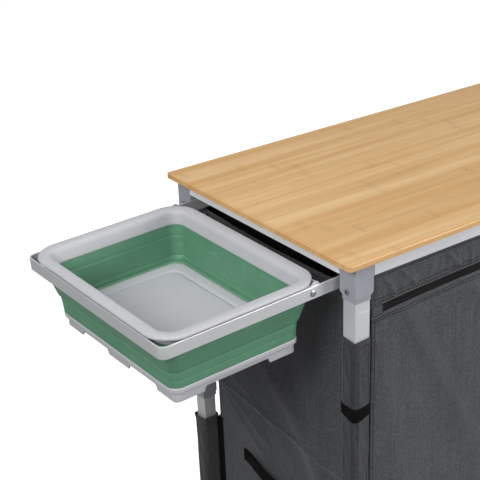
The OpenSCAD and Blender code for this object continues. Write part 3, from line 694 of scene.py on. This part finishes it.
def side_relief(y, z, side):
    """How far the end panel's cloth stands out of its plane at a place on the panel."""
    low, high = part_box(side_name(side) + "_panel")
    y_range, z_range = (low.y, high.y), (low.z, high.z)
    sewn = hold(y, z, y_range, z_range, 0.06)
    relief = ripples(y, z, 7, 0.9 * MM, (0.07, 0.26), 0.6)
    fold_z = BOARD_Z - 0.405
    for shift in (0.0, 0.085, 0.17, 0.27):
        upper = (high.y - shift, high.z - 0.16), (low.y + 0.02, fold_z - 0.02 - shift)
        lower = (high.y - shift, fold_z - 0.01), (low.y + 0.03 - shift * 0.4, low.z + 0.06)
        relief += ridge(y, z, *upper, 2.2 * MM, 0.024)
        relief += ridge(y, z, *lower, 2.4 * MM, 0.028)
    sewn_close = hold(y, z, y_range, z_range, 0.015)
    # The line where the cloth was folded in its packing, with short branches at its rear end
    fold = (high.y - 0.002, fold_z + 0.017), (low.y + 0.002, fold_z - 0.018)
    lines = crease(y, z, *fold, 4.6 * MM, 0.0034)
    for start, end, size in (
            ((0.012, 0.014), (0.17, -0.055), 2.56), ((0.03, -0.008), (0.15, -0.085), 1.92),
            ((0.05, 0.045), (0.19, -0.01), 2.24), ((0.26, 0.0), (0.40, 0.06), 1.6)):
        branch = (high.y - start[0], fold_z + start[1]), (high.y - end[0], fold_z + end[1])
        lines += crease(y, z, *branch, size * MM, 0.0038)
    return np.clip(relief * sewn + lines * sewn_close, -4 * MM, 7 * MM)


def leg_gap(along, span, z, first, last, depth):
    """How far a panel's upright edges draw back from the legs, between two heights."""
    rise = smooth_step(np.clip(np.minimum(z - last, first - z) / 0.012 + 0.5, 0, 1))
    from_low, from_high = along - span[0], span[1] - along
    reach = depth * 3
    pull_low = np.clip(1 - from_low / reach, 0, 1)
    pull_high = np.clip(1 - from_high / reach, 0, 1)
    return depth * rise * (pull_low - pull_high)


def end_panel(side):
    """End panel with its hems, edge tape and handle. The left one's pieces each get a mesh of their own.
    """
    name = side_name(side)
    node = name + "_panel"
    low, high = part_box(node)
    plane = low.x if side < 0 else high.x
    rows, columns = 190, 130
    y, z = np.meshgrid(np.linspace(low.y, high.y, columns), np.linspace(low.z, high.z, rows))
    slack = 7 * MM * np.clip((z - high.z + 0.08) / 0.08, 0, 1) ** 2
    mid = 1 - ((y - low.y) / (high.y - low.y) * 2 - 1) ** 2
    relief = side_relief(y, z, side)
    z_bent = z - slack * mid
    y_bent = y + leg_gap(y, (low.y, high.y), z, BOARD_Z - 0.395, BOARD_Z - 0.476, 11 * MM)
    points = np.stack([plane + side * relief, y_bent, z_bent], axis=-1)
    outward = (side, 0, 0)
    cloth = sheet(points, outward, PANEL_T)
    made = [piece(f"end_panel_{name}", cloth, PANEL_CLOTH, "root", [node])]
    hems = [seam(points[row], outward) for row in (rows - 4, rows - 7)]
    hems += [seam(points[:, column], outward) for column in (2, columns - 3)]
    made.append(stitch_piece(f"end_panel_{name}_stitching", hems, "root"))
    # Edge tape up the rear edge, as far as the legs' bare windows
    taped = int(rows * 0.315)
    strip = points[:taped, -7:] + np.array(outward) * 0.9 * MM
    tape = sheet(strip, outward, 0.8 * MM)
    made.append(piece(f"end_panel_{name}_edge_tape", tape, BINDING, "root"))
    made += handle(side, plane, points, outward)
    if side < 0:
        for part in made:
            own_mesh(part)


def handle(side, plane, panel, outward):
    """Carry handle of webbing that bows out of the panel, with boxed stitching at its sewn ends."""
    name = side_name(side)
    node = "handle_" + name
    low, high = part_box(node)
    tab, depth, sag = 7 * MM, 13.5 * MM, 5 * MM
    y = np.linspace(low.y, high.y, 90)
    free = np.clip(np.minimum(y - low.y - tab, high.y - tab - y), 0, None)
    half = (high.y - low.y) / 2 - tab
    bow = depth * np.sin(np.clip(free / half, 0, 1) * math.pi / 2) ** 1.1
    cloth_out = np.abs(panel[len(panel) // 3, :, 0] - plane)
    relief = np.clip(np.interp(y, panel[0, :, 1], cloth_out), 0, 2.5 * MM)
    centre_z, width = (low.z + high.z) / 2, high.z - low.z
    rows = []
    for share in np.linspace(-0.5, 0.5, 9):
        crown = 0.5 * MM * (1 - (2 * share) ** 2)
        z = centre_z + share * width - sag * (bow / depth) ** 1.5
        rows.append(np.column_stack([plane + side * (relief + bow + 2.0 * MM + crown), y, z]))
    points = np.array(rows)
    webbing = sheet(points, outward, 1.7 * MM)
    strap = piece(f"carry_handle_{name}", webbing, WEBBING, "root", [node])
    marks = []
    for first, last in ((1, 5), (84, 88)):
        cross = [points[1, first], points[-2, last]]
        box = [cross[0], points[1, last], cross[1], points[-2, first], cross[0]]
        marks += [seam(box, outward, 0.35 * MM), seam(cross, outward, 0.35 * MM)]
    return [strap, stitch_piece(f"carry_handle_{name}_stitching", marks, "root")]


def zip_lift(x):
    """The zip sags a little where it starts at the legs and is pulled level between them."""
    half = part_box("zip_top")[1].x - MID_X
    from_end = np.clip(half - np.abs(x - MID_X), 0, None)
    return 2.4 * MM - 6.0 * MM * np.exp(-from_end / 0.1)


def front_relief(x, z, top, bottom):
    """Relief of the doors' cloth: slubby upright waves and a few broad slanting folds."""
    low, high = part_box("front_header")
    relief = ripples(x, z, 9, 0.9 * MM, (0.05, 0.24), 0.12)
    for start in (0.05, 0.2, 0.47, 0.66):
        relief += ridge(x, z, (low.x + start, top + 0.02), (low.x + start + 0.2, top - 0.34),
                        4.5 * MM, 0.017)
    relief += ridge(x, z, (low.x + 0.02, top - 0.06), (low.x + 0.1, top - 0.5), 3.0 * MM, 0.02)
    relief += ridge(x, z, (high.x - 0.04, top - 0.04), (high.x - 0.16, top - 0.45), 3.2 * MM, 0.022)
    return relief * hold(x, z, (low.x, high.x), (bottom, top), 0.02)


def front_header():
    """Cloth strip between the rail and the zip, gathered in upright pleats with a puckered seam."""
    low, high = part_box("front_header")
    columns, rows = 460, 34
    x, t = np.meshgrid(np.linspace(low.x, high.x, columns), np.linspace(0, 1, rows))
    bottom = low.z + zip_lift(x)
    z = bottom + (high.z - bottom) * t
    # Fine pleats at random, then the broad ones
    pleats = np.zeros_like(x)
    at = low.x + 0.012
    while at < high.x:
        lean = rng.uniform(-0.012, 0.016)
        size = rng.uniform(1.0, 2.8) * MM
        pleats += size * np.exp(-((x - at - lean * t * 1.4) / rng.uniform(0.0035, 0.007)) ** 2)
        at += rng.uniform(0.014, 0.034)
    for start, lean, size in (
            (0.05, 0.03, 7.2), (0.1, 0.05, 5.2), (0.19, 0.04, 6.0), (0.31, 0.06, 4.8),
            (0.44, 0.05, 6.4), (0.58, 0.05, 4.8), (0.71, 0.04, 6.4), (0.83, 0.03, 5.2)):
        pleats += size * MM * np.exp(-((x - low.x - start + lean * t) / 0.006) ** 2)
    fade = np.clip(t / 0.2, 0, 1) * np.clip((0.84 - t) / 0.25, 0, 1)
    relief = pleats * fade + 0.6 * MM * np.sin(x / 0.021) * t * (1 - t)
    lip = 0.7 * MM * np.exp(-((t - 0.06) / 0.05) ** 2)
    pucker = 0.7 * MM * np.sin(x / 0.0016 + 2.0 * np.sin(x / 0.011))
    pucker *= np.exp(-((t - 0.15) / 0.09) ** 2)
    hem = -0.8 * MM * np.exp(-((t - 0.86) / 0.025) ** 2) + 0.4 * MM * (t > 0.89) - pucker
    points = np.stack([x, low.y - relief - lip - hem, z], axis=-1)
    cloth = sheet(points, FRONT, PANEL_T)
    piece("front_header_cloth", cloth, PANEL_CLOTH, "root", ["front_header"])
    stitch_piece("front_header_stitching", [seam(points[r], FRONT) for r in (3, 7, 28)], "root")


def zip_strip(x0, x1, z_of_x, width, plane):
    """Tape of a closed reverse-coil zip along X, ribbed lengthwise, with a channel in the middle."""
    x = np.linspace(x0, x1, 300)
    rows = []
    for share in np.linspace(-0.5, 0.5, 29):
        ribs = 0.35 * MM * math.cos(share * width / (1.3 * MM) * math.pi)
        channel = -1.1 * MM * math.exp(-(share * width / (0.6 * MM)) ** 2)
        flank = 1.0 * MM * math.exp(-((abs(share) * width - 2.4 * MM) / (1.0 * MM)) ** 2)
        rows.append(np.column_stack([x, np.full_like(x, plane - ribs - channel - flank),
                                     z_of_x(x) + share * width]))
    return np.array(rows)


def top_zip():
    low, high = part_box("zip_top")
    centre, width = (low.z + high.z) / 2, high.z - low.z
    points = zip_strip(low.x, high.x, lambda x: centre + zip_lift(x), width, low.y + 0.5 * MM)
    piece("door_zip_top", sheet(points, FRONT, 1.4 * MM), ZIP_TAPE, "root", ["zip_top"])
    for side in (-1, 1):
        zip_end_tab(side, centre, width)


def zip_end_tab(side, centre, width):
    """Cloth tab that covers an end of the zip, with a stitched box."""
    low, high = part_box("front_header")
    outer = low.x if side < 0 else high.x
    inner = outer - side * 23 * MM
    x = np.linspace(min(outer, inner), max(outer, inner), 24)
    rows = []
    for share in np.linspace(-0.5, 0.5, 14):
        crown = 0.9 * MM * (1 - (2 * share) ** 4)
        end = np.clip(np.abs(x - inner) / (3 * MM), 0, 1) ** 0.5
        z = centre + zip_lift(x) + share * (width + 11 * MM)
        rows.append(np.column_stack([x, low.y - 0.9 * MM - crown * end, z]))
    points = np.array(rows)
    name = side_name(side)
    cloth = sheet(points, FRONT, 1.0 * MM)
    piece(f"zip_end_tab_{name}", cloth, PANEL_CLOTH, "root")
    box = [points[2, 2], points[2, -3], points[-3, -3], points[-3, 2], points[2, 2]]
    stitch_piece(f"zip_end_tab_{name}_stitching", [seam(box, FRONT)], "root")


def door_leaf(side):
    """One leaf of the door, hemmed all round, with its half of the upright zip."""
    name = side_name(side)
    node, body = f"door_{name}", f"door_{name}_leaf"
    low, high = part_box(node)
    columns, rows = 200, 240
    x, t = np.meshgrid(np.linspace(low.x, high.x, columns), np.linspace(0, 1, rows))
    top = high.z + zip_lift(x)
    z = low.z + (top - low.z) * t
    relief = front_relief(x, z, high.z, low.z)
    hem = 0.8 * MM * np.exp(-((top - z - 5 * MM) / (2.2 * MM)) ** 2)
    hem += 0.7 * MM * np.exp(-((z - low.z - 6 * MM) / (3 * MM)) ** 2)
    free_edge = high.x if side < 0 else low.x
    hem += 0.7 * MM * np.exp(-((np.abs(x - free_edge) - 5 * MM) / (2.4 * MM)) ** 2)
    points = np.stack([x, low.y - np.clip(relief, -2.5 * MM, 8 * MM) - hem, z], axis=-1)
    cloth = sheet(points, FRONT, PANEL_T)
    piece(f"door_leaf_{name}", cloth, PANEL_CLOTH, body, [node])
    lines = [seam(points[row], FRONT) for row in (-4, -6, 5)]
    lines += [seam(points[:, column], FRONT) for column in (3, columns - 4)]
    stitch_piece(f"door_leaf_{name}_stitching", lines, body)
    upright_zip(side, body)


def upright_zip(side, body):
    """Half of the upright zip: ribbed tape with a row of teeth along its free edge."""
    name = side_name(side)
    node = "zip_edge_" + name
    low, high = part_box(node)
    z = np.linspace(low.z, high.z, 220)
    meeting = MID_X + side * 0.2 * MM
    rows = []
    for share in np.linspace(0, 1, 14):
        x = low.x + share * (high.x - low.x)
        rib = 0.3 * MM * math.cos(share * 5 * math.pi)
        rows.append(np.column_stack([np.full_like(z, x), np.full_like(z, low.y + 0.5 * MM - rib), z]))
    parts = [sheet(np.array(rows), FRONT, 1.3 * MM)]
    box = [[0, 1, 3, 2], [4, 6, 7, 5], [0, 4, 5, 1], [2, 3, 7, 6], [0, 2, 6, 4], [1, 5, 7, 3]]
    size = np.array([1.1, 0.9, 0.7]) * MM
    stagger = 0.6 * MM if side > 0 else 0
    for at in np.arange(low.z + 3 * MM, high.z - 3 * MM, 2.4 * MM):
        centre = np.array([meeting + side * 1.2 * MM, low.y - 0.1 * MM, at + stagger])
        tooth = [centre + size * np.array([a, b, c]) * (0.7 if b < 0 else 1.0)
                 for a in (-1, 1) for b in (-1, 1) for c in (-1, 1)]
        parts.append((tooth, box))
    piece(f"door_zip_{name}_half", merge(parts), ZIP_TAPE_UP, body, [node])


def back_panel():
    low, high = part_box("back_panel")
    columns, rows = 320, 230
    x, z = np.meshgrid(np.linspace(low.x, high.x, columns), np.linspace(low.z, high.z, rows))
    relief = ripples(x, z, 9, 1.2 * MM, (0.06, 0.3), 0.2)
    for start in (0.08, 0.3, 0.55, 0.74):
        relief += ridge(x, z, (high.x - start, high.z - 0.03), (high.x - start - 0.16, high.z - 0.5),
                        4.2 * MM, 0.026)
    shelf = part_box("cupboard_shelf")[0].z
    relief -= 1.6 * MM * np.exp(-((z - shelf) / 0.006) ** 2)
    relief = relief * hold(x, z, (low.x, high.x), (low.z, high.z), 0.04)
    hem = 0.7 * MM * np.exp(-((high.z - z - 0.008) / 0.003) ** 2)
    x_bent = x + leg_gap(x, (low.x, high.x), z, BOARD_Z - 0.385, BOARD_Z - 0.515, 48 * MM)
    points = np.stack([x_bent, high.y + np.clip(relief, -3 * MM, 8 * MM) + hem, z], axis=-1)
    cloth = sheet(points, BACK, PANEL_T)
    piece("back_panel_cloth", cloth, PANEL_CLOTH, "root", ["back_panel"])
    shelf_row = int(np.argmin(np.abs(z[:, 0] - shelf)))
    lines = [seam(points[row], BACK) for row in (-3, -7, shelf_row, 4)]
    lines += [seam(points[:, column], BACK) for column in (2, columns - 3)]
    stitch_piece("back_panel_stitching", lines, "root")


def padded_board(node, sag):
    """Cupboard floor or shelf: a stiffened cloth panel with bound edges that sags a little."""
    low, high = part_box(node)
    inset, notch = 3 * MM, 40 * MM
    columns, rows = 130, 70
    x, y = np.meshgrid(np.linspace(low.x + inset, high.x - inset, columns),
                       np.linspace(low.y + inset, high.y - inset, rows))
    half_x, half_y = (high.x - low.x) / 2 - inset, (high.y - low.y) / 2 - inset
    mid = middle(node)
    u, v = (x - mid.x) / half_x, (y - mid.y) / half_y
    # The corners draw in diagonally to clear the legs
    pull = notch * (np.abs(u) * np.abs(v)) ** 14
    x = x - np.sign(u) * pull
    y = y - np.sign(v) * pull
    dip = sag * (1 - u ** 2) * (1 - v ** 2)
    quilt = 0.5 * MM * np.abs(np.sin(3 * math.pi * u) * np.sin(2 * math.pi * v)) ** 0.5
    points = np.stack([x, y, high.z - 0.4 * MM - dip + quilt * 0.6], axis=-1)
    board = sheet(points, TOP, high.z - low.z - 0.6 * MM)
    piece(node + "_cloth", board, PANEL_CLOTH, "root", [node])
    border = np.concatenate([points[2, 2:-2], points[2:-2, -3],
                             points[-3, 2:-2][::-1], points[2:-2, 2][::-1]])
    stitch_piece(node + "_stitching", [seam(border, TOP)], "root")


# ---------- sleeves round the legs ----------

RING_ANGLES = np.linspace(0, 2 * math.pi, 72, endpoint=False) + math.pi / 4


def leg_ring(half, radius):
    """A square with round corners about a leg's axis, a point for each of RING_ANGLES."""
    points = []
    for angle in RING_ANGLES:
        direction = np.array([math.cos(angle), math.sin(angle)])
        reach = half / np.max(np.abs(direction))
        core = half - radius
        # Nearest point of the rounded square along this direction
        low, high = core * 0.5, reach
        for _ in range(24):
            mid = (low + high) / 2
            over = np.maximum(np.abs(direction * mid) - core, 0)
            if np.linalg.norm(over) > radius:
                high = mid
            else:
                low = mid
        points.append(direction * low)
    return np.array(points)


def middle_and_half(node):
    """A node's middle seen from above, and half its width along X."""
    low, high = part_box(node)
    return np.array(middle(node)[:2]), (high.x - low.x) / 2


def sleeve_wall(centre, z_low, z_high, half, corner_angle, gape_top, shift):
    """Points of one stretch of sleeve: rounder in its middle, tighter and gaping at its top."""
    rows = max(int((z_high - z_low) / (3.2 * MM)), 12)
    toward_corner = np.clip(np.cos(RING_ANGLES - corner_angle), 0, 1)
    rings = []
    for z in np.linspace(z_low, z_high, rows):
        from_top = z_high - z
        loose = np.clip(min(from_top, z - z_low) / (40 * MM), 0, 1)
        ring = leg_ring(half + 1.1 * MM * loose, (4.3 + 4.2 * loose) * MM)
        wobble = 0.35 * MM * np.sin(RING_ANGLES * 3 + z * 37 + shift) * np.sin(z * 61 + shift * 2)
        wobble += 0.25 * MM * np.sin(RING_ANGLES * 7 + z * 90 + shift)
        flare = gape_top * np.exp(-from_top / (9 * MM)) * toward_corner
        hem = 0.55 * MM * math.exp(-((from_top - 4.5 * MM) / (2.2 * MM)) ** 2)
        hem -= 0.5 * MM * math.exp(-((from_top - 8.5 * MM) / (1.0 * MM)) ** 2)
        size = np.linalg.norm(ring, axis=1)
        ring = ring * ((size + (wobble * loose + flare + hem) * 0.9) / size)[:, None]
        droop = 1.6 * MM * toward_corner * np.exp(-from_top / (25 * MM))
        rings.append(np.column_stack([ring + centre, np.full(len(ring), z) - droop]))
    return np.array(rings)


def tube_shell(rings, thick, centre):
    """Closed wall from a stack of rings, drawn in by its thickness on the inside."""
    flat = rings[..., :2] - centre
    size = np.linalg.norm(flat, axis=-1, keepdims=True)
    inner = rings.copy()
    inner[..., :2] = centre + flat * (size - thick) / size
    return loft(np.concatenate([rings, inner[::-1]]))


def sleeve(i, j):
    """A leg's sleeve: one stretch down over the collar and one below the leg's bare window."""
    where = corner_name(i, j)
    node = "sleeve_" + where
    low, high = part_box(node)
    collar_low, collar_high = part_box("leg_collar_" + where)
    over_collar, window, thick = 17 * MM, 43 * MM, 0.9 * MM
    centre, half = middle_and_half(node)
    corner_angle = math.atan2(j, i)
    shift = 1.7 * i + 3.1 * j
    upper = sleeve_wall(centre, collar_high.z - over_collar, high.z, half, corner_angle, 0.4 * MM, shift)
    lower = sleeve_wall(centre, low.z, collar_low.z - window, half, corner_angle, 2.6 * MM, shift + 2)
    stretches = merge([tube_shell(wall, thick, centre) for wall in (upper, lower)])
    piece("leg_" + node, stretches, SLEEVE_CLOTH, "root", [node])
    sleeve_seams(where, i, j, centre, (upper, lower))


def sleeve_seams(where, i, j, centre, walls):
    """A hem stitch round the top of each stretch and two upright seams on each outer face."""
    rows = []
    for rings in walls:
        ring = rings[-4]
        for k in range(0, len(ring), 3):
            pair = ring[[k, (k + 3) % len(ring)]]
            out = np.append(pair.mean(axis=0)[:2] - centre, 0)
            rows.append((pair, out / np.linalg.norm(out)))
        for out in ((i, 0, 0), (0, j, 0)):
            for lean in (-0.55, 0.55):
                wanted = math.atan2(out[1], out[0]) + lean
                gap = np.abs((RING_ANGLES - wanted + math.pi) % (2 * math.pi) - math.pi)
                rows.append((rings[2:-2, int(np.argmin(gap))], out))
    stitch_piece("leg_sleeve_" + where + "_stitching", rows, "root")


def hook_loop_tabs():
    """Tabs that close the sleeves: rounded tongues that wrap each leg's outer corner."""
    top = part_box("hook_loop_bands")[1].z
    parts = []
    for i, j in CORNERS:
        centre, half = middle_and_half("sleeve_" + corner_name(i, j))
        ring = leg_ring(half + 2.1 * MM, 8.5 * MM)
        size = np.linalg.norm(ring, axis=1)
        near = np.clip(np.cos(RING_ANGLES - math.atan2(j, i)), 0, 1)
        tall = (18.0 + 8.0 * near ** 1.5) * MM
        dip = 1.5 * MM * near
        rows = []
        for share in np.linspace(0, 1, 15):
            puff = 0.35 * MM * (1 - (2 * share - 1) ** 6)
            flat = ring * ((size + puff) / size)[:, None] + centre
            z = top - dip - (1 - share) * (tall - dip)
            rows.append(np.column_stack([flat, z]))
        parts.append(tube_shell(np.array(rows), 1.1 * MM, centre))
    piece("hook_loop_tabs", merge(parts), PILE, "root", ["hook_loop_bands"])


# ---------- studio ----------

def area_light(name, place, aim, size, power):
    light = bpy.data.lights.new(name, "AREA")
    light.shape = "DISK"
    light.size = size
    light.energy = power
    made = add_object(name, light)
    made.location = place
    made.rotation_euler = (Vector(aim) - Vector(place)).to_track_quat("-Z", "Y").to_euler()


def sky_dome():
    """White surroundings, bright overhead and dim towards the ground."""
    world = bpy.data.worlds.new("studio")
    bpy.context.scene.world = world
    world.use_nodes = True
    tree = world.node_tree
    place = tree.nodes.new("ShaderNodeTexCoord").outputs["Generated"]
    height = tree.nodes.new("ShaderNodeSeparateXYZ")
    tree.links.new(place, height.inputs[0])
    level = tree.nodes.new("ShaderNodeMapRange")
    tree.links.new(height.outputs["Z"], level.inputs["Value"])
    for name, value in (("From Min", 0.0), ("From Max", 0.9), ("To Min", 0.26), ("To Max", 0.36)):
        level.inputs[name].default_value = value
    # The backdrop itself looks white, however dim its light is
    seen = tree.nodes.new("ShaderNodeLightPath").outputs["Is Camera Ray"]
    shown = tree.nodes.new("ShaderNodeMath")
    shown.operation = "MAXIMUM"
    tree.links.new(level.outputs[0], shown.inputs[0])
    tree.links.new(seen, shown.inputs[1])
    background = tree.nodes["Background"]
    background.inputs["Color"].default_value = (1, 1, 1, 1)
    tree.links.new(shown.outputs[0], background.inputs["Strength"])


def studio():
    half, below = 9.0, -1 * MM
    mesh = bpy.data.meshes.new("studio_floor")
    corners = [(half * x, half * y, below) for x, y in ((-1, -1), (1, -1), (1, 1), (-1, 1))]
    mesh.from_pydata(corners, [], [(0, 1, 2, 3)])
    mesh.materials.append(FLOOR)
    add_object("studio_floor", mesh)
    sky_dome()
    aim = (MID_X - 0.4, 0, 0.6)
    area_light("key", (MID_X - 2.9, -1.0, 2.5), aim, 1.5, 66)
    area_light("front", (MID_X + 1.9, -3.3, 1.7), aim, 1.4, 92)
    area_light("top", (MID_X - 0.2, 0.0, 3.6), aim, 2.4, 24)
    bpy.context.scene.view_settings.view_transform = "Standard"


def camera():
    """A long lens from in front, to the left and above, framed off its axis."""
    data = bpy.data.cameras.new("camera")
    data.sensor_width = 36.0
    data.lens = 91.4
    data.shift_x = -0.192
    data.shift_y = 0.227
    data.clip_end = 40.0
    made = add_object("camera", data)
    made.location = (LEG_LOW.x - 1.043, LEG_LOW.y - 1.201, BOARD_Z + 0.779)
    made.rotation_euler = (math.radians(60.06), math.radians(0.12), math.radians(-39.79))
    bpy.context.scene.camera = made


dress_frame()
bowl_rim()
bowl_band()
bowl_base()
for side in (-1, 1):
    end_panel(side)
    door_leaf(side)
front_header()
top_zip()
back_panel()
padded_board("cupboard_floor", 3 * MM)
padded_board("cupboard_shelf", 5 * MM)
for i, j in CORNERS:
    sleeve(i, j)
hook_loop_tabs()
studio()
camera()
